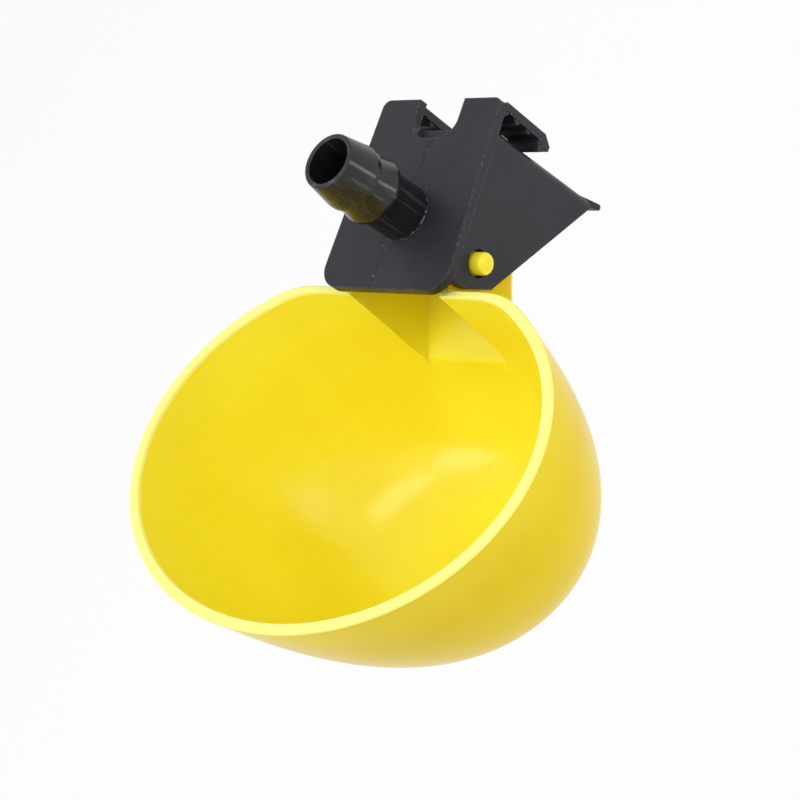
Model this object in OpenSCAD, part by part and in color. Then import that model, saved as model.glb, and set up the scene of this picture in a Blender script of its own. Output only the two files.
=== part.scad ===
// Hanging drinking cup for poultry: a black hose bracket that hooks on a cage wire,
// and a yellow bowl whose chute swings on two pegs inside the bracket and works a valve.
// Use frame, in mm: X to the right, Y towards the cage wire, Z up.
// The origin is where the cage wire rests in the hook slot, midway between the two hooks.
// The shapes are drawn from the hose inlet's axis and the top of the bracket's plate,
// and in_use() moves them to the origin.

/* [Plate of the bracket] */

// Width of the plate at its front edge
plate_w = 30; // [24:0.5:42]
// Narrowing of the plate from its front edge to its rear edge
plate_taper = 1.8; // [0:0.1:3]
// Distance from the inlet axis to the plate's front edge
plate_front = 14.35; // [12:0.05:20]
// Distance from the inlet axis to the plate's rear edge
plate_back = 22.25; // [20:0.05:32]
// Thickness of the plate
plate_t = 1.8; // [1.2:0.1:3]
// Radius of the plate's front corners
front_corner_r = 4.2; // [1:0.1:7]
// Radius of the plate's rear corners
rear_corner_r = 1.6; // [0.5:0.1:3]
// Width of the round notch in the plate's rear edge
notch_w = 10.6; // [6:0.1:12]
// Depth of the notch
notch_d = 7.6; // [5:0.1:9]
// Radius of the notch's two inner corners
notch_r = 3.8; // [1:0.1:5]

/* [Hose inlet] */

// Outside diameter of the stem under the barbs
stem_d = 10.4; // [8:0.1:14]
// Length of the bare stem above the plate
stem_h = 8.4; // [4:0.1:12]
// Largest diameter of the two barbs
barb_d = 12.3; // [9:0.1:16]
// Length of one barb along the axis, with its land
barb_h = 6.1; // [3:0.1:9]
// Length of the straight land at the foot of each barb
barb_land = 0.8; // [0.4:0.1:2]
// Outside diameter of the inlet's mouth
mouth_d = 10.2; // [8:0.1:14]
// Bore of the inlet
inlet_bore_d = 8.4; // [4:0.1:9]

/* [Valve nozzle] */

// Outside diameter of the nozzle under the plate
nozzle_d = 9; // [7:0.1:11]
// Distance from the plate's top to the nozzle's tip
nozzle_len = 9; // [7:0.1:12]
// Diameter of the valve seat at the nozzle's tip
seat_d = 4.8; // [3.6:0.1:6]
// Bore of the valve seat
seat_bore_d = 2.4; // [1.5:0.1:3]

/* [Side plates and back wall] */

// Distance between the outer faces of the two side plates
cheek_w = 28.2; // [22:0.1:40]
// Thickness of the side plates and of the back wall
cheek_t = 1.8; // [1.2:0.1:2.6]
// Distance from the plate's front edge to the front edge of the side plates
cheek_inset = 3.2; // [2:0.1:6]
// Height of the straight front edge of the side plates, from the plate's top
cheek_front_h = 6.3; // [4:0.1:9]
// Height of the side plates at the end of their chamfer, from the plate's top
cheek_cham_h = 12; // [8:0.1:16]
// Run of that chamfer towards the back
cheek_cham_run = 2.4; // [1:0.1:5]
// Height of the side plates at the back wall, from the plate's top
cheek_back_h = 29.6; // [24:0.1:36]
// Distance from the inlet axis to the back wall's rear face
wall_back = 17; // [14:0.05:20]
// Radius of the upright edges between the side plates and the back wall
wall_edge_r = 2.4; // [2:0.1:4]
// Reach of the back wall below the side plates
lip_h = 5.2; // [1:0.1:7]
// Thickness of that lip
lip_t = 1.2; // [0.8:0.1:1.8]
// Lean of the lip towards the back
lip_lean = 1.2; // [0.2:0.1:2]

/* [Wire hooks] */

// Gap between the back wall and the tips of the hook teeth, for the cage wire
wire_slot = 2.7; // [1.8:0.1:4]
// Narrow mouth of that slot, between the back wall and the hook's end
slot_mouth = 1.2; // [0.6:0.1:2.5]
// Width of one hook
hook_w = 7.6; // [5:0.1:10]
// Distance from a hook's outer side to the plate's side edge at the rear
hook_inset = 0.1; // [0:0.1:2]
// Step from the plate's rear edge to a hook's rear face
hook_step = 0.1; // [0:0.1:1]
// Thickness of a hook's plain rear band
hook_band_t = 1.4; // [1:0.1:2]
// Length of a hook, from the plate's top
hook_h = 15; // [9:0.1:20]
// Pitch of the hook's grooves
groove_pitch = 3.4; // [2.6:0.1:5]
// Radius of the hook's grooves
groove_r = 1.55; // [1:0.05:2.4]
// Depth of the hook's grooves
groove_d = 1; // [0.6:0.05:1.6]
// Number of grooves
groove_n = 3; // [1:1:5]
// Step between the sides of a hook and of its toothed part
tooth_step = 0.2; // [0.1:0.1:1.5]

/* [Bowl] */

// Width of the bowl over its rim, from side to side
rim_w = 94.6; // [80:0.2:120]
// Width that the oval of the rim would have from front to back without its flat
rim_l = 71.4; // [60:0.2:90]
// Distance from the middle of that oval to the flat at the back of the rim
rim_flat = 30.5; // [26:0.1:36]
// Width of the rim band
rim_band = 2.1; // [1.6:0.1:4]
// Height of the rim band
rim_h = 1.4; // [0.8:0.1:3]
// Thickness of the bowl's wall
bowl_t = 1.5; // [1:0.1:2.4]
// Depth of the bowl from its rim, on the outside
bowl_h = 45.9; // [36:0.1:60]
// Fullness of the bowl's back under its flat
back_fill = 0.3; // [0:0.02:0.4]
// Height difference between the bracket's plate and the middle of the rim
rim_drop = 0.2; // [0:0.1:3]
// Reach of the rim's flat under the plate
rim_under = 1.8; // [0.5:0.1:2.6]
// Slope of the rim while the bowl is empty, front edge up
rim_tilt = 6.7; // [0:0.1:10]

/* [Chute and pivot] */

// Gap between the chute's sides and the side plates
chute_gap = 0.7; // [0.4:0.1:2]
// Thickness of the chute's sides and floor
chute_t = 1.5; // [1:0.1:1.7]
// Depth of the chute's floor at the bowl, from the plate's top
chute_floor = 26; // [20:0.1:30]
// Slope of the chute's floor
chute_slope = 26; // [15:0.5:32]
// Rounding of the chute's lower outer edges
chute_edge_r = 2.6; // [0.5:0.1:4]
// Gap between the chute's end and the back wall
chute_end_gap = 2.2; // [1.5:0.1:5]
// Distance from the inlet axis forwards to the pivot
pivot_front = 6; // [4:0.05:10]
// Distance from the plate's top down to the pivot
pivot_drop = 7.05; // [5:0.05:10]
// Diameter of the pivot pegs
peg_d = 4; // [3:0.1:6]
// Reach of the pegs beyond the side plates
peg_out = 2; // [0.5:0.1:4]
// Gap around a peg in its hole
peg_gap = 0.1; // [0.02:0.01:0.4]
// Turn of the bowl that closes the valve, in degrees
swing = 5; // [2:0.5:8]

/* [Valve pad and spring] */

// Diameter of the rubber pad
pad_d = 7; // [5:0.1:9]
// Thickness of the rubber pad
pad_t = 2.4; // [1.5:0.1:4]
// Depth of the pad's pocket in the lever
pocket_d = 1.2; // [0.6:0.1:1.8]
// Gap left under the seat where the valve closes
seat_gap = 0.05; // [0:0.01:0.2]
// Mean diameter of the spring
spring_d = 5; // [4:0.1:7]
// Wire of the spring
spring_wire = 0.4; // [0.3:0.05:0.8]
// Turns of the spring
spring_turns = 6; // [4:0.5:9]
// Distance from the inlet axis back to the spring
spring_back = 9; // [7.5:0.1:11]
// Height of the spring's lower seat, from the plate's top
spring_low = 12; // [10:0.1:13]

/* [Hidden] */

$fn = 64;
eps = 0.01;

wire_y = wall_back + wire_slot / 2;
cheek_front = plate_front - cheek_inset;
cheek_in = cheek_w / 2 - cheek_t;
rear_w = plate_w - plate_taper;

hook_back = plate_back - hook_step;
tooth_front = wall_back + wire_slot;
hook_out = rear_w / 2 - hook_inset;

chute_out = cheek_in - chute_gap;
chute_w = 2 * (chute_out - chute_t);
chute_end = wall_back - cheek_t - chute_end_gap;

rim_back = rim_under - plate_front;
rim_mid_y = rim_back - rim_flat * cos(rim_tilt);
rim_mid_z = -rim_drop;
rim_back_z = rim_mid_z - rim_flat * sin(rim_tilt);
chute_foot = -wall_y(-chute_floor);
side_n = 48;
ring_n = 9;

stop_z = -plate_t - 0.1;

// Height of the chute's inner floor at a place behind the inlet axis
function floor_z(y) = -chute_floor + (y + chute_foot) * tan(chute_slope);

// Middle of the bowl's back wall at a height
function wall_y(z) = rim_back - bowl_t / 2 + (z - rim_back_z) * tan(rim_tilt);

module in_use() {
    translate([0, -wire_y, plate_t])
        children();
}

// What is drawn for the closed valve is turned back to the open valve of the empty bowl
module valve_open() {
    translate([0, -pivot_front, -pivot_drop])
        rotate([-swing, 0, 0])
            translate([0, pivot_front, pivot_drop])
                children();
}

// An upright plate drawn in Y and Z and centred on X
module profile_x(width) {
    rotate([90, 0, 90])
        linear_extrude(width, center = true)
            children();
}

module plate() {
    difference() {
        translate([0, 0, -plate_t])
            linear_extrude(plate_t)
                hull() {
                    for (s = [-1, 1]) {
                        translate([s * (plate_w / 2 - front_corner_r), front_corner_r - plate_front])
                            circle(front_corner_r);
                        translate([s * (rear_w / 2 - rear_corner_r), plate_back - rear_corner_r])
                            circle(rear_corner_r);
                    }
                }
        translate([0, plate_back - notch_d, -plate_t - 1])
            linear_extrude(plate_t + 2)
                hull()
                    for (s = [-1, 1]) {
                        translate([s * (notch_w / 2 - notch_r), notch_r])
                            circle(notch_r);
                        translate([s * (notch_w / 2 - 1), notch_d + 1])
                            circle(1);
                    }
    }
}

module inlet_outside() {
    low = stem_h;
    mid = stem_h + barb_h * 0.86;
    top = mid + barb_h * 1.14;
    rotate_extrude()
        polygon([
            [0, -plate_t],
            [stem_d / 2, -plate_t],
            [stem_d / 2, low],
            [barb_d / 2, low],
            [barb_d / 2, low + barb_land],
            [stem_d / 2, mid],
            [barb_d / 2 - 0.05, mid],
            [barb_d / 2 - 0.05, mid + barb_land],
            [mouth_d / 2, top],
            [0, top],
        ]);
}

module nozzle_outside() {
    rotate_extrude()
        polygon([
            [0, -plate_t + eps],
            [nozzle_d / 2, -plate_t + eps],
            [nozzle_d / 2, -nozzle_len + 3],
            [seat_d / 2, -nozzle_len + 1],
            [seat_d / 2, -nozzle_len],
            [0, -nozzle_len],
        ]);
}

module water_way() {
    top = stem_h + barb_h * 2;
    translate([0, 0, -nozzle_len + 4])
        cylinder(d = inlet_bore_d - 1.6, h = 6);
    translate([0, 0, 0.6])
        cylinder(d = inlet_bore_d, h = top);
    translate([0, 0, -nozzle_len - 1])
        cylinder(d = seat_bore_d, h = 6);
}

// Side plates and back wall in plan, open to the front
module wall_plan() {
    inner_r = wall_edge_r - cheek_t;
    difference() {
        union() {
            translate([-cheek_w / 2, -cheek_front])
                square([cheek_w, cheek_front + wall_back - wall_edge_r]);
            for (s = [-1, 1])
                translate([s * (cheek_w / 2 - wall_edge_r), wall_back - wall_edge_r])
                    circle(wall_edge_r);
            translate([wall_edge_r - cheek_w / 2, 0])
                square([cheek_w - 2 * wall_edge_r, wall_back]);
        }
        translate([-cheek_in, -cheek_front - 1])
            square([cheek_in * 2, cheek_front + 1 + wall_back - wall_edge_r]);
        translate([inner_r - cheek_in, -cheek_front])
            square([(cheek_in - inner_r) * 2, cheek_front + wall_back - cheek_t]);
        for (s = [-1, 1])
            translate([s * (cheek_in - inner_r), wall_back - wall_edge_r])
                circle(inner_r);
    }
}

module walls() {
    intersection() {
        translate([0, 0, -cheek_back_h - lip_h])
            linear_extrude(cheek_back_h + lip_h - plate_t + eps)
                wall_plan();
        profile_x(cheek_w + 2)
            polygon([
                [-cheek_front, 0],
                [-cheek_front, -cheek_front_h],
                [cheek_cham_run - cheek_front, -cheek_cham_h],
                [wall_back - cheek_t, -cheek_back_h],
                [wall_back + 1, -cheek_back_h],
                [wall_back + 1, 0],
            ]);
    }
}

module lip() {
    tip_r = lip_t / 2;
    profile_x(cheek_w - 2 * wall_edge_r) {
        polygon([
            [wall_back - lip_t, -cheek_back_h + 3],
            [wall_back - lip_t + lip_lean, -cheek_back_h - lip_h + tip_r],
            [wall_back + lip_lean, -cheek_back_h - lip_h + tip_r],
            [wall_back, -cheek_back_h + 3],
        ]);
        translate([wall_back + lip_lean - tip_r, -cheek_back_h - lip_h + tip_r])
            circle(tip_r);
    }
}

// One hook in Y and Z: a plain band, and in front of it the grooved part
module hook_band() {
    polygon([
        [hook_back - hook_band_t, -plate_t + eps],
        [hook_back, -plate_t + eps],
        [hook_back - 0.45, -hook_h + 1.9],
        [hook_back - 2.05, -hook_h],
        [hook_back - 2.95, -hook_h],
        [hook_back - 2.95, -hook_h + 1],
        [hook_back - hook_band_t - 0.6, -hook_h + 3],
    ]);
}

module hook_teeth() {
    tip = wall_back + slot_mouth;
    difference() {
        polygon([
            [tooth_front, -plate_t + eps],
            [hook_back - 0.8, -plate_t + eps],
            [hook_back - 1.3, -hook_h + 2],
            [hook_back - 2.3, -hook_h + 0.3],
            [hook_back - 2.95, -hook_h + 0.3],
            [tip, -hook_h + 1.9],
            [tip, -hook_h + 2.4],
            [tooth_front, -hook_h + 2.7],
        ]);
        for (i = [0:groove_n - 1])
            translate([tooth_front + groove_d - groove_r, -plate_t - 2.1 - groove_pitch * i])
                circle(groove_r);
    }
}

module hooks() {
    for (s = [-1, 1])
        translate([s * (hook_out - hook_w / 2), 0, 0]) {
            profile_x(hook_w)
                hook_band();
            profile_x(hook_w - 2 * tooth_step)
                hook_teeth();
        }
}

module bracket() {
    color([0.16, 0.16, 0.18])
        in_use()
            difference() {
                union() {
                    plate();
                    inlet_outside();
                    nozzle_outside();
                    walls();
                    lip();
                    hooks();
                    translate([0, spring_back, -plate_t - 1.8])
                        cylinder(d = spring_d - spring_wire - 0.6, h = 2);
                }
                water_way();
                translate([0, -pivot_front, -pivot_drop])
                    rotate([0, 90, 0])
                        cylinder(d = peg_d + 2 * peg_gap, h = cheek_w + 2, center = true);
            }
}

// Rings of points for a bowl of half widths a and b and depth h, cut flat at y = flat
function ring_angle(i) = 90 * (1 - pow(1 - i / ring_n, 1.6));
function ring_s(i) = pow(cos(ring_angle(i)), 2 / 3.65);
function ring_k(i) = pow(sin(ring_angle(i)), 2 / 1.28);
function ring_back(i, t) = pow(ring_s(i), 1 - back_fill * pow(max(0, sin(t)), 3));
function ring(a, b, h, flat, i) = [
    for (j = [0:side_n - 1])
        let (t = 360 * j / side_n)
            [
                a * ring_back(i, t) * cos(t),
                min(flat, b * ring_back(i, t) * sin(t)),
                -h * ring_k(i),
            ]
];
function rings(a, b, h, flat) = [for (i = [0:ring_n - 1]) each ring(a, b, h, flat, i)];
function band(base, flip) = [
    for (i = [0:ring_n - 2], j = [0:side_n - 1])
        let (
            k = (j + 1) % side_n,
            p = base + i * side_n,
            q = p + side_n
        )
            each (flip
                ? [[p + j, p + k, q + k], [p + j, q + k, q + j]]
                : [[p + j, q + k, p + k], [p + j, q + j, q + k]])
];
function fan(base, tip, flip) = [
    for (j = [0:side_n - 1])
        let (k = (j + 1) % side_n)
            flip ? [base + j, base + k, tip] : [base + k, base + j, tip]
];

module bowl_wall() {
    outer_a = rim_w / 2 - rim_band + bowl_t;
    outer_b = rim_l / 2 - rim_band + bowl_t;
    m = ring_n * side_n;
    points = concat(
        rings(outer_a, outer_b, bowl_h, rim_flat - 0.2),
        rings(outer_a - bowl_t, outer_b - bowl_t, bowl_h - bowl_t, rim_flat - bowl_t + 0.1),
        [[0, 0, -bowl_h], [0, 0, bowl_t - bowl_h]]
    );
    rim = [
        for (j = [0:side_n - 1])
            let (k = (j + 1) % side_n)
                each [[j, k, m + k], [j, m + k, m + j]]
    ];
    faces = concat(
        band(0, true),
        fan(m - side_n, 2 * m, true),
        band(m, false),
        fan(2 * m - side_n, 2 * m + 1, false),
        [for (f = rim) [f[0], f[2], f[1]]]
    );
    polyhedron(points, faces, convexity = 6);
}

module rim_plan(inset) {
    intersection() {
        scale([rim_w / 2 - inset, rim_l / 2 - inset])
            circle(1, $fn = side_n);
        translate([-rim_w, -rim_l])
            square([2 * rim_w, rim_l + rim_flat - min(inset, bowl_t - 0.1)]);
    }
}

module rim() {
    translate([0, 0, -rim_h])
        linear_extrude(rim_h)
            difference() {
                rim_plan(0);
                rim_plan(rim_band);
            }
}

module in_bowl() {
    translate([0, rim_mid_y, rim_mid_z])
        rotate([-rim_tilt, 0, 0])
            children();
}

// The chute from the side, in Y and Z, reaching below its inner floor by a depth
module chute_side(low) {
    front = wall_y(-chute_floor);
    polygon([
        [front, floor_z(front) - low],
        [chute_end, floor_z(chute_end) - low],
        [chute_end, floor_z(chute_end) + 2.8],
        [2, -pivot_drop + 1.6],
        [1.6 - pivot_front, stop_z - 1],
        [-0.8 - pivot_front, stop_z],
        [-4.2 - pivot_front, stop_z],
        [rim_back + 0.8, rim_back_z - 0.8],
        [wall_y(rim_back_z), rim_back_z - 0.8],
    ]);
}

// Its section across the floor, with rounded lower edges
module chute_section() {
    for (s = [-1, 1])
        translate([s * (chute_out - chute_edge_r), chute_t - chute_edge_r])
            circle(chute_edge_r);
    translate([chute_edge_r - chute_out, -60])
        square([2 * (chute_out - chute_edge_r), 60 + chute_t]);
    translate([-chute_out, -60])
        square([2 * chute_out, 60 + chute_t - chute_edge_r]);
}

module chute_outside() {
    intersection() {
        profile_x(chute_out * 2 + 1)
            chute_side(chute_t * 3);
        translate([0, -chute_foot, -chute_floor])
            rotate([chute_slope - 90, 0, 0])
                translate([0, 0, -20])
                    linear_extrude(80)
                        chute_section();
    }
}

module chute_channel() {
    front = -chute_foot - 3;
    back = chute_end + 1;
    profile_x(chute_w)
        polygon([
            [front, floor_z(front)],
            [back, floor_z(back)],
            [back, 2],
            [front, 2],
        ]);
}

// Boss under the valve pad, and the seat of the spring
module lever_bosses() {
    top = -nozzle_len - seat_gap - pad_t + pocket_d;
    intersection() {
        profile_x(chute_out * 2)
            chute_side(chute_t / 2);
        union() {
            valve_open()
                translate([0, 0, top - 16])
                    cylinder(d = pad_d + 2.2, h = 16);
            translate([0, spring_back, -spring_low - 8])
                cylinder(d = spring_d + 1.6, h = 8);
        }
    }
    translate([0, spring_back, -spring_low - 0.5])
        cylinder(d = spring_d - spring_wire - 0.8, h = 2);
}

module peg(side) {
    reach = cheek_w / 2 + peg_out;
    base = chute_w / 2 + chute_t / 2;
    translate([0, -pivot_front, -pivot_drop])
        rotate([0, side * 90, 0]) {
            translate([0, 0, base])
                cylinder(d = peg_d, h = reach - base - 0.5);
            translate([0, 0, reach - 0.5])
                cylinder(d1 = peg_d, d2 = peg_d - 1, h = 0.5);
            translate([0, 0, base])
                cylinder(d = peg_d + 2.4, h = cheek_in - 0.3 - base);
        }
}

module pad_shape() {
    valve_open()
        translate([0, 0, -nozzle_len - seat_gap - pad_t])
            cylinder(d = pad_d, h = pad_t);
}

module bowl() {
    color([0.94, 0.84, 0.18])
        in_use()
            difference() {
                union() {
                    difference() {
                        union() {
                            in_bowl()
                                bowl_wall();
                            in_bowl()
                                rim();
                            chute_outside();
                        }
                        chute_channel();
                    }
                    lever_bosses();
                    peg(1);
                    peg(-1);
                }
                pad_shape();
            }
}

module valve_pad() {
    color([0.12, 0.12, 0.13])
        in_use()
            pad_shape();
}

// Height of the spring's middle line after a number of turns: its end coils lie close
spring_len = spring_low - plate_t - 0.08;
spring_open = (spring_len - spring_wire * 3.2) / (spring_turns - 2);
function spring_z(t) = spring_wire / 2
    + min(t, 1) * spring_wire * 1.1
    + max(0, min(t - 1, spring_turns - 2)) * spring_open
    + max(0, t - spring_turns + 1) * spring_wire * 1.1;

module spring() {
    steps = 20;
    sides = 8;
    n = floor(spring_turns * steps);
    points = [
        for (i = [0:n])
            let (
                turn = i / steps,
                r = spring_d / 2
            )
                for (j = [0:sides - 1])
                    let (q = r + spring_wire / 2 * cos(360 * j / sides))
                        [
                            q * cos(360 * turn),
                            q * sin(360 * turn),
                            spring_z(turn) + spring_wire / 2 * sin(360 * j / sides),
                        ]
    ];
    sleeve = [
        for (i = [0:n - 1], j = [0:sides - 1])
            let (
                k = (j + 1) % sides,
                p = i * sides,
                q = p + sides
            )
                each [[p + j, q + k, p + k], [p + j, q + j, q + k]]
    ];
    color([0.7, 0.71, 0.73])
        in_use()
            translate([0, spring_back, -spring_low + 0.04])
                polyhedron(points, concat(
                    [[for (j = [0:sides - 1]) j]],
                    sleeve,
                    [[for (j = [sides - 1:-1:0]) n * sides + j]]
                ), convexity = 8);
}

bracket();
bowl();
valve_pad();
spring();
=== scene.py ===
import math

import bmesh
import bpy
from mathutils import Matrix, Vector
from mathutils.bvhtree import BVHTree


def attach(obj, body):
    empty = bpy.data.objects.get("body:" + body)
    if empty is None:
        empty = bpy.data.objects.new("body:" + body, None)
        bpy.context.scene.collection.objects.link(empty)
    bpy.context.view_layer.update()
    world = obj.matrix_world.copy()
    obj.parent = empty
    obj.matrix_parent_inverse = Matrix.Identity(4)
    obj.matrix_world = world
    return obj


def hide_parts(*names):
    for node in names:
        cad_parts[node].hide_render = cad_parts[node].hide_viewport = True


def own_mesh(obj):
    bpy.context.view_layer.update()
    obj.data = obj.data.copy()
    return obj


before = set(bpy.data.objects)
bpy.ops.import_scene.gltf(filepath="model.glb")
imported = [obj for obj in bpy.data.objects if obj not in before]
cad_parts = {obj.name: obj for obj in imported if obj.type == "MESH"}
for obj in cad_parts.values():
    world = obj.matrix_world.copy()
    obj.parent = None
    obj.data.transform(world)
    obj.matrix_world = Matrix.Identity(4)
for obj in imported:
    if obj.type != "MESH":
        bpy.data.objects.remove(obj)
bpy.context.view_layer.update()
MM = 0.001

# Sizes in millimetres, from the inlet axis and the top of the plate
AT = Vector((0.0, -18.35, 1.8))
TILT = math.radians(-6.7)
RIM = Vector((0.0, -42.84, -0.2))
PIVOT = Vector((0.0, -6.0, -7.05))
SWING = math.radians(-5.0)
SLOPE = math.radians(26.0)
CHUTE_OUT, CHUTE_T = 11.6, 1.5
FLOOR, CHUTE_END = 26.0, 13.0


def use(p):
    """A point from the inlet axis and the plate's top, in the row frame in metres."""
    return (Vector(p) + AT) * MM


def mesh_object(name, verts, faces):
    me = bpy.data.meshes.new(name)
    me.from_pydata([tuple(v) for v in verts], [], faces)
    me.validate()
    ob = bpy.data.objects.new(name, me)
    bpy.context.scene.collection.objects.link(ob)
    bm = bmesh.new()
    bm.from_mesh(me)
    bmesh.ops.recalc_face_normals(bm, faces=bm.faces)
    bm.to_mesh(me)
    bm.free()
    return ob


def loft(name, rings, closed=False, caps=True):
    """Skins equal rings of points; the ends are capped unless the rings close on themselves."""
    n = len(rings[0])
    verts = [p for r in rings for p in r]
    faces = []
    m = len(rings)
    for i in range(m if closed else m - 1):
        a, b = i * n, ((i + 1) % m) * n
        for j in range(n):
            k = (j + 1) % n
            faces.append((a + j, a + k, b + k, b + j))
    if caps and not closed:
        faces.append(tuple(range(n))[::-1])
        faces.append(tuple((m - 1) * n + j for j in range(n)))
    return mesh_object(name, verts, faces)


def prism(name, outline, half):
    """An outline in Y and Z, as wide as two halves in X."""
    left = [use((-half, y, z)) for y, z in outline]
    right = [use((half, y, z)) for y, z in outline]
    return loft(name, [left, right])


def lathe(name, profile, seg=128, axis_point=(0, 0, 0)):
    """A closed profile of radius and height, turned about a vertical axis."""
    rings = []
    for j in range(seg):
        a = 2 * math.pi * j / seg
        rings.append([use((axis_point[0] + r * math.cos(a), axis_point[1] + r * math.sin(a), axis_point[2] + z)) for r, z in profile])
    return loft(name, rings, closed=True)


def rounded(points, radii, steps=5):
    """A closed outline with its corners rounded."""
    out = []
    n = len(points)
    for i, p in enumerate(points):
        r = radii[i] if isinstance(radii, (list, tuple)) else radii
        p = Vector(p)
        a, b = Vector(points[i - 1]), Vector(points[(i + 1) % n])
        u, v = (a - p), (b - p)
        lu, lv = u.length, v.length
        if r <= 0 or lu < 1e-9 or lv < 1e-9:
            out.append(tuple(p))
            continue
        u.normalize(), v.normalize()
        ang = u.angle(v)
        d = min(r / math.tan(ang / 2), lu * 0.48, lv * 0.48)
        rr = d * math.tan(ang / 2)
        c = p + (u + v).normalized() * (rr / math.sin(ang / 2))
        s, e = p + u * d - c, p + v * d - c
        for k in range(steps + 1):
            t = k / steps
            q = (s * (1 - t) + e * t)
            out.append(tuple(c + q.normalized() * rr))
    return out


def combine(base, other, how):
    mod = base.modifiers.new("b", "BOOLEAN")
    mod.operation = how
    mod.solver = "EXACT"
    mod.object = other
    dg = bpy.context.evaluated_depsgraph_get()
    me = bpy.data.meshes.new_from_object(base.evaluated_get(dg))
    base.modifiers.clear()
    old = base.data
    base.data = me
    bpy.data.meshes.remove(old)
    bpy.data.objects.remove(other)
    return base


def smooth(ob, angle=35):
    ob.data.shade_smooth()
    ob.data.set_sharp_from_angle(angle=math.radians(angle))


# ---------- bowl ----------
def ring_oval(inset, flat, s, z, n=288):
    """One ring of the bowl in its own frame: an oval cut flat at the back with soft corners."""
    pts = []
    for j in range(n):
        t = 2 * math.pi * j / n
        g = s ** (1 - 0.3 * max(0.0, math.sin(t)) ** 3)
        x, y = (47.3 - inset) * g * math.cos(t), (35.7 - inset) * g * math.sin(t)
        k = 0.95
        if y - flat > -4:
            h = max(0.0, min(1.0, 0.5 + 0.5 * (y - flat) / (k * 2)))
            y = y * (1 - h) + flat * h - k * 2 * h * (1 - h)
        pts.append((x, y, z))
    return pts


def bowl_point(p):
    q = Matrix.Rotation(TILT, 3, "X") @ Vector(p)
    return use(q + RIM)


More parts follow.
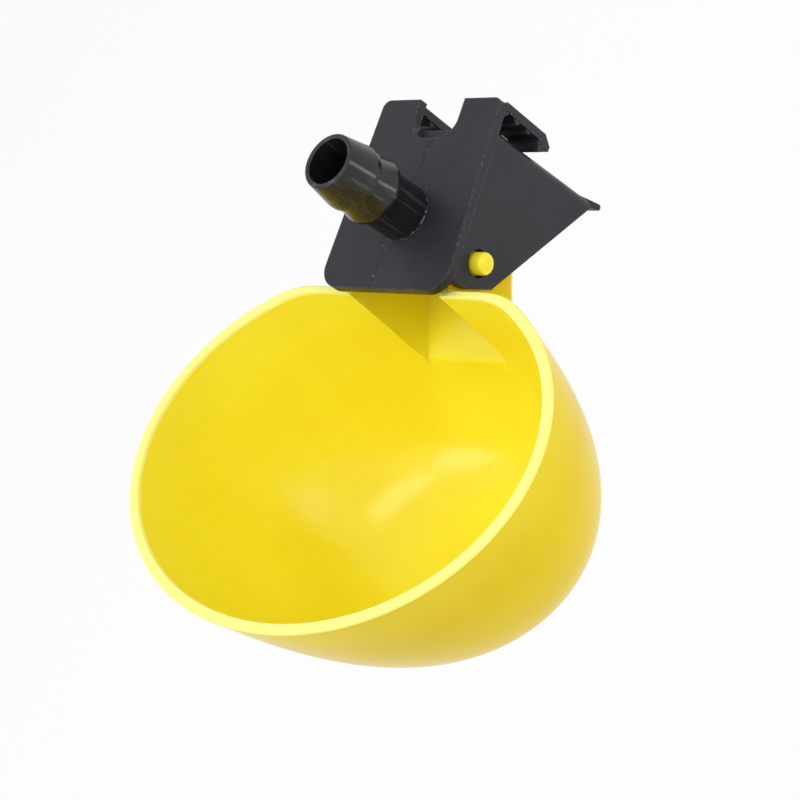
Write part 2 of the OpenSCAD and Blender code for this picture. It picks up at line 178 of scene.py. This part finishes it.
def build_bowl():
    rings = []
    m = 44
    deep, t = 45.74, 1.5

    def wall(inset, depth, flat, i, z0):
        ph = math.pi / 2 * (1 - (1 - i / m) ** 1.5)
        s = math.cos(ph) ** (2 / 3.65)
        k = math.sin(ph) ** (2 / 1.28)
        return ring_oval(inset, flat, max(s, 0.004), z0 - (depth + z0) * k)

    lip = 0.7
    inner_flat, outer_flat, rim_flat = 29.15, 30.3, 30.5
    body = 0.4
    for i in range(m, 0, -1):
        rings.append(wall(2.1, deep - t, inner_flat, i, -0.35))
    rings.append(ring_oval(2.1, inner_flat, 1, -0.35))
    rings.append(ring_oval(2.0, inner_flat + 0.06, 1, -0.1))
    rings.append(ring_oval(1.8, inner_flat + 0.2, 1, 0))
    rings.append(ring_oval(0.35, rim_flat - 0.25, 1, 0))
    rings.append(ring_oval(0.1, rim_flat - 0.07, 1, -0.1))
    rings.append(ring_oval(0, rim_flat, 1, -0.35))
    rings.append(ring_oval(0, rim_flat, 1, -lip + 0.2))
    rings.append(ring_oval(0.1, rim_flat - 0.08, 1, -lip))
    rings.append(ring_oval(body, outer_flat, 1, -lip - 0.05))
    for i in range(1, m + 1):
        rings.append(wall(body, deep, outer_flat, i, -lip - 0.05))
    shell = loft("bowl_shell", [[bowl_point(p) for p in r] for r in rings])
    skins = []
    for part in (rings[: m + 1], rings[-m:]):
        skin = loft("skin", [[bowl_point(p) for p in r] for r in part], caps=False)
        skins.append(BVHTree.FromPolygons([v.co.copy() for v in skin.data.vertices], [tuple(f.vertices) for f in skin.data.polygons]))
        bpy.data.objects.remove(skin)

    def floor_z(y):
        return -FLOOR + (y + 15.9) * math.tan(SLOPE)

    rim_back_z = -0.2 - 30.5 * math.sin(-TILT)

    def wall_y(z):
        return -12.55 - 0.75 + (z - rim_back_z) * math.tan(-TILT)

    side = [
        (wall_y(-FLOOR - 1.5), floor_z(-16) - 4),
        (CHUTE_END, floor_z(CHUTE_END) - 4),
        (CHUTE_END, floor_z(CHUTE_END) + 2.8),
        (2, -5.45),
        (-4.4, -2.9),
        (-6.8, -1.9),
        (-10.2, -1.9),
        (-11.75, rim_back_z - 0.8),
        (wall_y(rim_back_z), rim_back_z - 0.8),
    ]
    outer = prism("chute_side", side, CHUTE_OUT + 0.5)
    section = rounded(
        [(-CHUTE_OUT, 40), (-CHUTE_OUT, -CHUTE_T), (CHUTE_OUT, -CHUTE_T), (CHUTE_OUT, 40)],
        [0, 4.2, 4.2, 0], 10,
    )
    along = Vector((0, math.cos(SLOPE), math.sin(SLOPE)))
    up = Vector((0, -math.sin(SLOPE), math.cos(SLOPE)))
    foot = Vector((0, -15.9, -FLOOR))
    ends = [
        [use(foot + along * u + up * v + Vector((x, 0, 0))) for x, v in section]
        for u in (-20, 60)
    ]
    outer = combine(outer, loft("chute_section", ends), "INTERSECT")
    shell = combine(shell, outer, "UNION")
    # The channel: a flat floor, walls that widen above it, and a soft front edge of the floor
    half = [(9.75, 0), (10.0, 0.7), (10.35, 1.8), (10.7, 3.2), (10.92, 5.0), (10.95, 7.0), (10.95, 45)]
    section = [(-x, v) for x, v in reversed(half)] + half
    edge_u, edge_r, turn = -0.08, 2.0, math.radians(36)
    steps = [(60, 0), (edge_u, 0)]
    for j in range(1, 9):
        a = turn * j / 8
        steps.append((edge_u - edge_r * math.sin(a), edge_r * (1 - math.cos(a))))
    u1, d1 = steps[-1]
    steps.append((u1 - 1.5, d1 + 1.5 * math.tan(turn)))
    ends = []
    for u, drop in steps:
        ends.append([use(foot + along * u + up * (v - drop * (1 if v < 30 else 0)) + Vector((x, 0, 0))) for x, v in section])
    shell = combine(shell, loft("channel", ends), "DIFFERENCE")
    # Boss under the pad, seat of the spring, and the two pegs
    boss = lathe("boss", [(0.001, -18.6), (4.6, -18.6), (4.6, -10.5), (4.35, -10.25), (3.52, -10.25), (3.52, -11.4), (0.001, -11.4)], 96)
    turn = Matrix.Rotation(SWING, 4, "X")
    place = Matrix.Translation(use(PIVOT)) @ turn @ Matrix.Translation(-use(PIVOT))
    boss.data.transform(place)
    seat = lathe("seat", [(0.001, -14.6), (3.3, -14.6), (3.3, -12.2), (3.1, -12), (1.9, -12), (1.9, -10.7), (1.7, -10.5), (0.001, -10.5)], 96, (0, 9, 0))
    pegs = []
    for s in (-1, 1):
        profile = [(0.001, 10.8), (3.2, 10.8), (3.2, 12.0), (2.0, 12.0), (2.0, 15.65), (1.85, 15.95), (1.6, 16.1), (0.001, 16.1)]
        seg, rings = 96, []
        for j in range(seg):
            a = 2 * math.pi * j / seg
            rings.append([use(PIVOT + Vector((s * h, r * math.cos(a), r * math.sin(a)))) for r, h in profile])
        pegs.append(loft("peg_%s" % ("right" if s > 0 else "left"), rings, closed=True))
    return shell, boss, seat, pegs, skins


bowl, boss, seat, pegs, skins = build_bowl()
bowl_parts = [bowl, boss, seat] + pegs
for ob in bowl_parts:
    smooth(ob, 32)


# ---------- bracket: the CAD body below the plate's top, and a turned inlet ----------
def build_bracket():
    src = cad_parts["bracket"]
    me = src.data.copy()
    body = bpy.data.objects.new("bracket_body", me)
    bpy.context.scene.collection.objects.link(body)
    bm = bmesh.new()
    bm.from_mesh(me)
    bmesh.ops.remove_doubles(bm, verts=bm.verts, dist=1e-7)
    geom = list(bm.verts) + list(bm.edges) + list(bm.faces)
    bmesh.ops.bisect_plane(bm, geom=geom, plane_co=(0, 0, 1.83 * MM), plane_no=(0, 0, 1), clear_outer=True)
    bmesh.ops.dissolve_limit(bm, angle_limit=math.radians(0.6), verts=bm.verts, edges=bm.edges)
    bm.to_mesh(me)
    bm.free()
    for s in (-1, 1):
        strip = []
        for z, w in ((-1.5, 1.0), (-17.0, 0.7)):
            outline = [(14.1, 14.4), (14.1, 15.9), (13.0, 17.0), (11.5, 17.0), (11.5, 14.4)]
            strip.append([use((s * (11.5 + (x - 11.5) * w), 14.4 + (y - 14.4) * w, z)) for x, y in outline])
        combine(body, loft("strip", strip), "UNION")
    ring = []
    for j in range(64):
        a = 2 * math.pi * j / 64
        ring.append((2.5 * math.cos(a), 2.5 * math.sin(a)))
    hole = prism("hole", [(PIVOT.y + c, PIVOT.z + s) for c, s in ring], 15)
    combine(body, hole, "DIFFERENCE")
    bevel = body.modifiers.new("edges", "BEVEL")
    bevel.width = 0.22 * MM
    bevel.segments = 2
    bevel.limit_method = "ANGLE"
    bevel.angle_limit = math.radians(40)
    bevel.use_clamp_overlap = True
    bevel.harden_normals = False
    profile = rounded(
        [
            (4.2, 0.2), (4.2, 20.6), (5.1, 20.6), (6.1, 14.55), (6.1, 13.65), (5.2, 13.65),
            (6.15, 9.2), (6.15, 8.4), (5.2, 8.4), (5.2, 0.0), (5.6, -0.3), (4.2, -0.3),
        ],
        [0, 0.3, 0.3, 0.6, 0.12, 0.1, 0.5, 0.12, 0.15, 0.35, 0, 0], 4,
    )
    inlet = lathe("bracket_inlet", profile, 160)
    smooth(body, 30)
    smooth(inlet, 28)
    return body, inlet


body, inlet = build_bracket()


# ---------- spring and pad: finer than the solids ----------
def build_spring():
    turns, wire, r = 6.0, 0.4, 2.5
    low, high = -12.0 + 0.04 + wire / 2, -1.8 - wire / 2
    n, sides = 480, 12
    length = high - low
    closed_pitch = wire * 1.1
    pitch = (length - 2 * closed_pitch) / (turns - 2)

    def height(t):
        return low + min(t, 1) * closed_pitch + max(0, min(t - 1, turns - 2)) * pitch + max(0, t - turns + 1) * closed_pitch

    rings = []
    for i in range(n + 1):
        t = turns * i / n
        a = 2 * math.pi * t
        c = Vector((r * math.cos(a), 9 + r * math.sin(a), height(t)))
        out = Vector((math.cos(a), math.sin(a), 0))
        rise = (height(min(t + 0.01, turns)) - height(max(t - 0.01, 0))) / (0.02 * 2 * math.pi * r)
        side = Vector((-math.sin(a), math.cos(a), rise)).normalized()
        up = side.cross(out)
        rings.append([use(c + (out * math.cos(2 * math.pi * j / sides) + up * math.sin(2 * math.pi * j / sides)) * wire / 2) for j in range(sides)])
    return loft("spring_wire", rings)


spring = build_spring()
smooth(spring, 50)
pad = lathe("pad", [(0.001, -11.44), (3.35, -11.44), (3.49, -11.3), (3.49, -9.3), (3.3, -9.06), (0.001, -9.06)], 96)
pad.data.transform(Matrix.Translation(use(PIVOT)) @ Matrix.Rotation(SWING, 4, "X") @ Matrix.Translation(-use(PIVOT)))
smooth(pad, 32)


# ---------- materials ----------
def new_material(name):
    m = bpy.data.materials.new(name)
    m.use_nodes = True
    nt = m.node_tree
    nt.nodes.clear()
    out = nt.nodes.new("ShaderNodeOutputMaterial")
    bsdf = nt.nodes.new("ShaderNodeBsdfPrincipled")
    nt.links.new(bsdf.outputs[0], out.inputs[0])
    return m, nt, bsdf


class Net:
    """Short names for shader nodes."""

    def __init__(self, nt):
        self.nt = nt

    def put(self, socket, value):
        if hasattr(value, "is_linked") or hasattr(value, "links"):
            self.nt.links.new(value, socket)
        elif value is not None:
            socket.default_value = value

    def math(self, op, a, b=None, c=None, clamp=False):
        n = self.nt.nodes.new("ShaderNodeMath")
        n.operation = op
        n.use_clamp = clamp
        for s, v in zip(n.inputs, (a, b, c)):
            self.put(s, v)
        return n.outputs[0]

    def ramp(self, v, lo, hi, a=0.0, b=1.0, smoothly=True):
        n = self.nt.nodes.new("ShaderNodeMapRange")
        n.interpolation_type = "SMOOTHSTEP" if smoothly else "LINEAR"
        n.clamp = True
        for s, x in zip(n.inputs[:5], (v, lo, hi, a, b)):
            self.put(s, x)
        return n.outputs[0]

    def mix(self, f, a, b):
        n = self.nt.nodes.new("ShaderNodeMix")
        n.data_type = "RGBA"
        self.put(n.inputs[0], f)
        self.put(n.inputs[6], a if not isinstance(a, tuple) else (*a, 1)[:4])
        self.put(n.inputs[7], b if not isinstance(b, tuple) else (*b, 1)[:4])
        return n.outputs[2]

    def noise(self, scale, detail=2.0, rough=0.5, vector=None, dist=0.0):
        n = self.nt.nodes.new("ShaderNodeTexNoise")
        n.inputs["Scale"].default_value = scale
        n.inputs["Detail"].default_value = detail
        n.inputs["Roughness"].default_value = rough
        n.inputs["Distortion"].default_value = dist
        self.put(n.inputs["Vector"], vector if vector is not None else self.place())
        return n.outputs[0]

    def place(self):
        """The point on the piece at rest, in its own coordinates."""
        n = self.nt.nodes.new("ShaderNodeTexCoord")
        return n.outputs["Object"]

    def xyz(self):
        n = self.nt.nodes.new("ShaderNodeSeparateXYZ")
        self.put(n.inputs[0], self.place())
        return n.outputs[0], n.outputs[1], n.outputs[2]

    def soft_edges(self, radius, samples=6):
        n = self.nt.nodes.new("ShaderNodeBevel")
        n.samples = samples
        n.inputs["Radius"].default_value = radius
        return n.outputs[0]

    def edge_mask(self, radius, samples=6):
        """0 on flat faces, rising at edges."""
        g = self.nt.nodes.new("ShaderNodeNewGeometry")
        d = self.nt.nodes.new("ShaderNodeVectorMath")
        d.operation = "DOT_PRODUCT"
        self.put(d.inputs[0], self.soft_edges(radius, samples))
        self.put(d.inputs[1], g.outputs["Normal"])
        return self.math("SUBTRACT", 1.0, d.outputs["Value"], clamp=True)

    def bump(self, height, strength, distance, normal=None):
        n = self.nt.nodes.new("ShaderNodeBump")
        n.inputs["Strength"].default_value = strength
        n.inputs["Distance"].default_value = distance
        self.put(n.inputs["Height"], height)
        if normal is not None:
            self.put(n.inputs["Normal"], normal)
        return n.outputs[0]


def yellow_material(name, deep_tone, light_tone, gloss):
    m, nt, b = new_material(name)
    k = Net(nt)
    x, y, z = k.xyz()
    # Height in the bowl's own frame, to find the rim
    ca, sa = math.cos(TILT), math.sin(TILT)
    cy, cz = (RIM.y + AT.y) * MM, (RIM.z + AT.z) * MM
    dy = k.math("SUBTRACT", y, cy)
    dz = k.math("SUBTRACT", z, cz)
    local = k.math("ADD", k.math("MULTIPLY", dz, ca), k.math("MULTIPLY", dy, -sa))
    rim = k.ramp(local, -0.85 * MM, -0.7 * MM)
    front = k.ramp(y, (-12.0 + AT.y) * MM, (-12.6 + AT.y) * MM)
    rim = k.math("MULTIPLY", rim, front)
    # Painted glow: lighter yellow towards the top of the bowl stands in for light shining through the plastic.
    painted_glow = k.ramp(local, -14 * MM, -1.0 * MM)
    cloud = k.noise(38, 3, 0.55)
    base = k.mix(k.ramp(cloud, 0.3, 0.7), deep_tone, light_tone)
    base = k.mix(k.math("MULTIPLY", k.math("MULTIPLY", painted_glow, front), 0.25), base, (0.94, 0.85, 0.1))
    # Pale rim band: painted light, standing in for light passing through the thin plastic of the rim; the same mask
    # also makes the rim rougher.
    base = k.mix(k.math("MULTIPLY", rim, 0.94), base, (0.96, 0.91, 0.27))
    speck = k.ramp(k.noise(900, 1, 0.5), 0.78, 0.82)
    base = k.mix(k.math("MULTIPLY", speck, 0.35), base, (0.45, 0.30, 0.02))
    k.put(b.inputs["Base Color"], base)
    smear = k.noise(45, 3, 0.5)
    rough = k.ramp(smear, 0.3, 0.75, 0.2, 0.27)
    k.put(b.inputs["Roughness"], k.math("ADD", rough, k.math("MULTIPLY", rim, 0.2)))
    b.inputs["IOR"].default_value = 1.5
    b.inputs["Specular IOR Level"].default_value = gloss
    b.inputs["Subsurface Weight"].default_value = 0.3
    b.inputs["Subsurface Radius"].default_value = (1.0, 0.7, 0.12)
    b.inputs["Subsurface Scale"].default_value = 0.0015
    soft = k.soft_edges(0.28 * MM, 5)
    fine = k.bump(k.noise(22, 1, 0.4), 0.12, 0.3 * MM, soft)
    grain = k.bump(k.noise(2200, 2, 0.6), 0.03, 0.02 * MM, fine)
    k.put(b.inputs["Normal"], grain)
    return m


def weld(k, x, y, wobble, points, width):
    """A thin seam that follows points, in inlet millimetres, over the plate."""
    total = None
    for (x0, y0), (x1, y1) in zip(points[:-1], points[1:]):
        ax, ay = x0 * MM, (y0 + AT.y) * MM
        bx, by = (x1 - x0) * MM, (y1 - y0) * MM
        ll = bx * bx + by * by
        px, py = k.math("SUBTRACT", x, ax), k.math("SUBTRACT", y, ay)
        px = k.math("ADD", px, wobble)
        h = k.math("DIVIDE", k.math("ADD", k.math("MULTIPLY", px, bx), k.math("MULTIPLY", py, by)), ll, clamp=True)
        qx = k.math("SUBTRACT", px, k.math("MULTIPLY", h, bx))
        qy = k.math("SUBTRACT", py, k.math("MULTIPLY", h, by))
        d = k.math("SQRT", k.math("ADD", k.math("MULTIPLY", qx, qx), k.math("MULTIPLY", qy, qy)))
        total = d if total is None else k.math("MINIMUM", total, d)
    return k.ramp(total, width, 0.0)


def black_material():
    m, nt, b = new_material("black_plastic")
    k = Net(nt)
    x, y, z = k.xyz()
    cloud = k.noise(55, 4, 0.6)
    base = k.mix(k.ramp(cloud, 0.3, 0.72), (0.0125, 0.012, 0.017), (0.02, 0.0195, 0.027))
    # Light specks along the edges: partly wear, partly a painted edge highlight.
    edge = k.ramp(k.edge_mask(0.6 * MM), 0.02, 0.1)
    specks = k.ramp(k.noise(2400, 2, 0.6), 0.5, 0.6)
    edge_wear_and_glint = k.math("MULTIPLY", k.math("MULTIPLY", edge, specks), 0.8)
    # Loose light specks round the stem of the inlet
    yy = k.math("SUBTRACT", y, AT.y * MM)
    r = k.math("SQRT", k.math("ADD", k.math("MULTIPLY", x, x), k.math("MULTIPLY", yy, yy)))
    near = k.math("MULTIPLY", k.ramp(r, 8.5 * MM, 5.3 * MM), k.ramp(z, 1.0 * MM, 1.7 * MM))
    dust = k.math("MULTIPLY", near, k.ramp(k.noise(2300, 1, 0.5), 0.73, 0.77))
    top = k.ramp(z, 1.6 * MM, 1.78 * MM)
    wob = k.math("MULTIPLY", k.math("SUBTRACT", k.noise(260, 3, 0.6), 0.5), 1.5 * MM)
    seam = weld(k, x, y, wob, [(0.8, 14.9), (0.1, 12.0), (0.4, 9.0), (-0.6, 5.6)], 0.62 * MM)
    fork = weld(k, x, y, wob, [(0.1, 12.4), (1.6, 14.6)], 0.5 * MM)
    front = weld(k, x, y, wob, [(-0.8, -5.4), (-1.0, -7.2), (-2.2, -9.2), (-2.6, -14.3)], 0.62 * MM)
    lines = k.math("MULTIPLY", k.math("MAXIMUM", k.math("MAXIMUM", seam, fork), front), top)
    glint = k.math("MULTIPLY", lines, k.ramp(k.noise(1600, 2, 0.5), 0.6, 0.7))
    # The knit lines are painted near-black as painted shade in their grooves, with a painted glint along them; the
    # bump below gives the grooves themselves.
    base = k.mix(k.math("MULTIPLY", lines, 0.95), base, (0.002, 0.002, 0.002))
    base = k.mix(k.math("MULTIPLY", glint, 0.45), base, (0.22, 0.22, 0.23))
    base = k.mix(edge_wear_and_glint, base, (0.12, 0.12, 0.125))
    base = k.mix(k.math("MULTIPLY", dust, 0.8), base, (0.45, 0.45, 0.45))
    k.put(b.inputs["Base Color"], base)
    rough = k.ramp(k.noise(90, 3, 0.6), 0.3, 0.7, 0.4, 0.52)
    k.put(b.inputs["Roughness"], k.math("SUBTRACT", rough, k.math("MULTIPLY", lines, 0.12)))
    b.inputs["Specular IOR Level"].default_value = 0.32
    soft = k.soft_edges(0.3 * MM, 5)
    n1 = k.bump(k.noise(75, 3, 0.6), 0.25, 0.3 * MM, soft)
    n2 = k.bump(lines, -1.0, 0.3 * MM, n1)
    n3 = k.bump(k.noise(2600, 2, 0.6), 0.1, 0.02 * MM, n2)
    k.put(b.inputs["Normal"], n3)
    return m


def inlet_material():
    m, nt, b = new_material("black_gloss")
    k = Net(nt)
    x, y, z = k.xyz()
    along = nt.nodes.new("ShaderNodeVectorMath")
    along.operation = "MULTIPLY"
    k.put(along.inputs[0], k.place())
    along.inputs[1].default_value = (1, 1, 0.035)
    streak = k.noise(620, 3, 0.6, vector=along.outputs[0])
    base = k.mix(k.ramp(k.noise(90, 3, 0.6), 0.3, 0.7), (0.007, 0.007, 0.009), (0.012, 0.012, 0.015))
    # The lighter streaks in the base colour are a painted sheen along the barrel; the same streaks also set
    # roughness and bump.
    base = k.mix(k.math("MULTIPLY", k.ramp(streak, 0.54, 0.7), 0.6), base, (0.09, 0.087, 0.097))
    dust = k.ramp(k.noise(2300, 1, 0.5), 0.76, 0.8)
    low = k.ramp(z, 8 * MM, 3 * MM)
    base = k.mix(k.math("MULTIPLY", k.math("MULTIPLY", dust, low), 0.7), base, (0.4, 0.4, 0.4))
    ring = k.ramp(z, 2.25 * MM, 1.9 * MM)
    chips = k.ramp(k.noise(1100, 2, 0.6), 0.5, 0.6)
    base = k.mix(k.math("MULTIPLY", k.math("MULTIPLY", ring, chips), 0.6), base, (0.3, 0.3, 0.29))
    k.put(b.inputs["Base Color"], base)
    k.put(b.inputs["Roughness"], k.ramp(streak, 0.35, 0.65, 0.17, 0.3))
    b.inputs["Specular IOR Level"].default_value = 0.42
    k.put(b.inputs["Normal"], k.bump(streak, 0.15, 0.05 * MM))
    return m


def rubber_material():
    m, nt, b = new_material("rubber")
    k = Net(nt)
    k.put(b.inputs["Base Color"], k.mix(k.noise(200, 3, 0.6), (0.02, 0.02, 0.021), (0.045, 0.045, 0.047)))
    b.inputs["Roughness"].default_value = 0.75
    k.put(b.inputs["Normal"], k.bump(k.noise(1800, 2, 0.6), 0.3, 0.03 * MM))
    return m


def steel_material():
    m, nt, b = new_material("spring_steel")
    k = Net(nt)
    k.put(b.inputs["Base Color"], k.mix(k.noise(500, 3, 0.6), (0.5, 0.5, 0.51), (0.66, 0.66, 0.68)))
    b.inputs["Metallic"].default_value = 1.0
    k.put(b.inputs["Roughness"], k.ramp(k.noise(900, 3, 0.6), 0.3, 0.7, 0.22, 0.36))
    k.put(b.inputs["Normal"], k.bump(k.noise(1500, 2, 0.6), 0.15, 0.02 * MM))
    return m


def dress(obs, material, body_name):
    for ob in obs:
        ob.data.materials.clear()
        ob.data.materials.append(material)
        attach(ob, body_name)


# Lit and shaded copies of one yellow plastic: the lighter copy for the inside is painted light shining through the
# bowl, and the darker copy for the outside is painted shade on the outer wall.
outside_shaded = yellow_material("yellow_plastic", (0.755, 0.545, 0.005), (0.8, 0.59, 0.007), 0.05)
inside_lit = yellow_material("yellow_plastic_inside", (0.9, 0.765, 0.022), (0.95, 0.83, 0.034), 0.36)
dress(bowl_parts, outside_shaded, "bowl")
bowl.data.materials.append(inside_lit)
# The pegs and, below, the inner faces and the channel take the lighter copy with its painted light.
for peg in pegs:
    peg.data.materials[0] = inside_lit
for poly in bowl.data.polygons:
    c = poly.center
    near_inner, near_outer = (skin.find_nearest(c)[3] for skin in skins)
    if near_inner < near_outer and c.y < (-11.5 + AT.y) * MM:
        poly.material_index = 1
    elif c.y > (-21 + AT.y) * MM and abs(c.x) < 11.2 * MM and poly.normal.z > -0.5 and near_outer > 0.25 * MM:
        poly.material_index = 1
dress([body], black_material(), "housing")
dress([inlet], inlet_material(), "housing")
dress([pad], rubber_material(), "bowl")
dress([spring], steel_material(), "housing")
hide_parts("bowl")
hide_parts("bracket")
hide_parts("valve_pad")
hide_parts("spring")
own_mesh(spring)


# ---------- floor, light, camera ----------
def floor_material():
    m, nt, b = new_material("floor_paint")
    k = Net(nt)
    k.put(b.inputs["Base Color"], k.mix(k.noise(6, 3, 0.5), (0.93, 0.93, 0.93), (0.95, 0.95, 0.95)))
    b.inputs["Roughness"].default_value = 0.85
    painted_glow = nt.nodes.new("ShaderNodeEmission")
    painted_glow.inputs["Color"].default_value = (1, 1, 1, 1)
    path = nt.nodes.new("ShaderNodeLightPath")
    shown = k.math("MAXIMUM", path.outputs["Is Camera Ray"], path.outputs["Is Transmission Ray"])
    shown = k.math("MAXIMUM", shown, path.outputs["Is Glossy Ray"])
    both = nt.nodes.new("ShaderNodeMixShader")
    nt.links.new(k.math("MULTIPLY", shown, 0.7), both.inputs[0])
    nt.links.new(b.outputs[0], both.inputs[1])
    nt.links.new(painted_glow.outputs[0], both.inputs[2])
    # Seen from below, the floor is clear
    under = nt.nodes.new("ShaderNodeMixShader")
    clear = nt.nodes.new("ShaderNodeBsdfTransparent")
    side = nt.nodes.new("ShaderNodeNewGeometry")
    nt.links.new(k.math("MULTIPLY", side.outputs["Backfacing"], path.outputs["Is Camera Ray"]), under.inputs[0])
    nt.links.new(both.outputs[0], under.inputs[1])
    nt.links.new(clear.outputs[0], under.inputs[2])
    nt.links.new(under.outputs[0], nt.nodes["Material Output"].inputs[0])
    return m


floor = mesh_object("floor", [(-6, -6, -0.3), (6, -6, -0.3), (6, 6, -0.3), (-6, 6, -0.3)], [(0, 1, 2, 3)])
floor.data.materials.append(floor_material())

scene = bpy.context.scene
scene.view_settings.view_transform = "Standard"
world = bpy.data.worlds.new("studio")
scene.world = world
world.use_nodes = True
nt = world.node_tree
nt.nodes.clear()
k = Net(nt)
out = nt.nodes.new("ShaderNodeOutputWorld")
lit = nt.nodes.new("ShaderNodeBackground")
seen = nt.nodes.new("ShaderNodeBackground")
lit.inputs["Color"].default_value = (1, 1, 1, 1)
lit.inputs["Strength"].default_value = 0.76
seen.inputs["Color"].default_value = (1, 1, 1, 1)
seen.inputs["Strength"].default_value = 1.0
path = nt.nodes.new("ShaderNodeLightPath")
shown = k.math("MAXIMUM", path.outputs["Is Camera Ray"], path.outputs["Is Transmission Ray"])
shown = k.math("MAXIMUM", shown, path.outputs["Is Glossy Ray"])
mixer = nt.nodes.new("ShaderNodeMixShader")
nt.links.new(shown, mixer.inputs[0])
nt.links.new(lit.outputs[0], mixer.inputs[1])
nt.links.new(seen.outputs[0], mixer.inputs[2])
nt.links.new(mixer.outputs[0], out.inputs[0])


def lamp(name, place, aim, size, power):
    data = bpy.data.lights.new(name, "AREA")
    data.shape = "RECTANGLE"
    data.size, data.size_y = size
    data.energy = power
    ob = bpy.data.objects.new(name, data)
    scene.collection.objects.link(ob)
    ob.location = place
    ob.visible_camera = False
    ob.rotation_mode = "QUATERNION"
    ob.rotation_quaternion = (Vector(aim) - Vector(place)).to_track_quat("-Z", "Y")
    return ob


AIM = (0, -0.045, -0.01)
lamp("key", (-0.25, -0.45, 0.75), AIM, (0.5, 0.35), 1.7)
lamp("top", (0.11, -0.12, 0.8), AIM, (0.4, 0.3), 1.35)
lamp("strip", (0.54, 0.15, -0.12), (0, -0.018, 0.02), (0.06, 0.3), 0.36)
lamp("side", (0.75, 0.1, 0.35), AIM, (0.4, 0.5), 0.8)

cam_data = bpy.data.cameras.new("camera")
cam = bpy.data.objects.new("camera", cam_data)
scene.collection.objects.link(cam)
cam_data.sensor_width = 36
cam_data.lens = 36 * 2600 / 800
cam_data.clip_start, cam_data.clip_end = 0.01, 20
right = Vector((0.7171, 0.305, -0.6267))
down = Vector((0.058, -0.9222, -0.3824))
ahead = Vector((-0.6946, 0.2379, -0.6789))
rot = Matrix((right, -down, -ahead)).transposed().to_4x4()
SCALE = 1.0714
eye = Vector((293.9, -114.9, 274.9)) * SCALE + Vector((0, -14.35, 0)) + AT
cam.matrix_world = Matrix.Translation(eye * MM) @ rot
scene.camera = cam
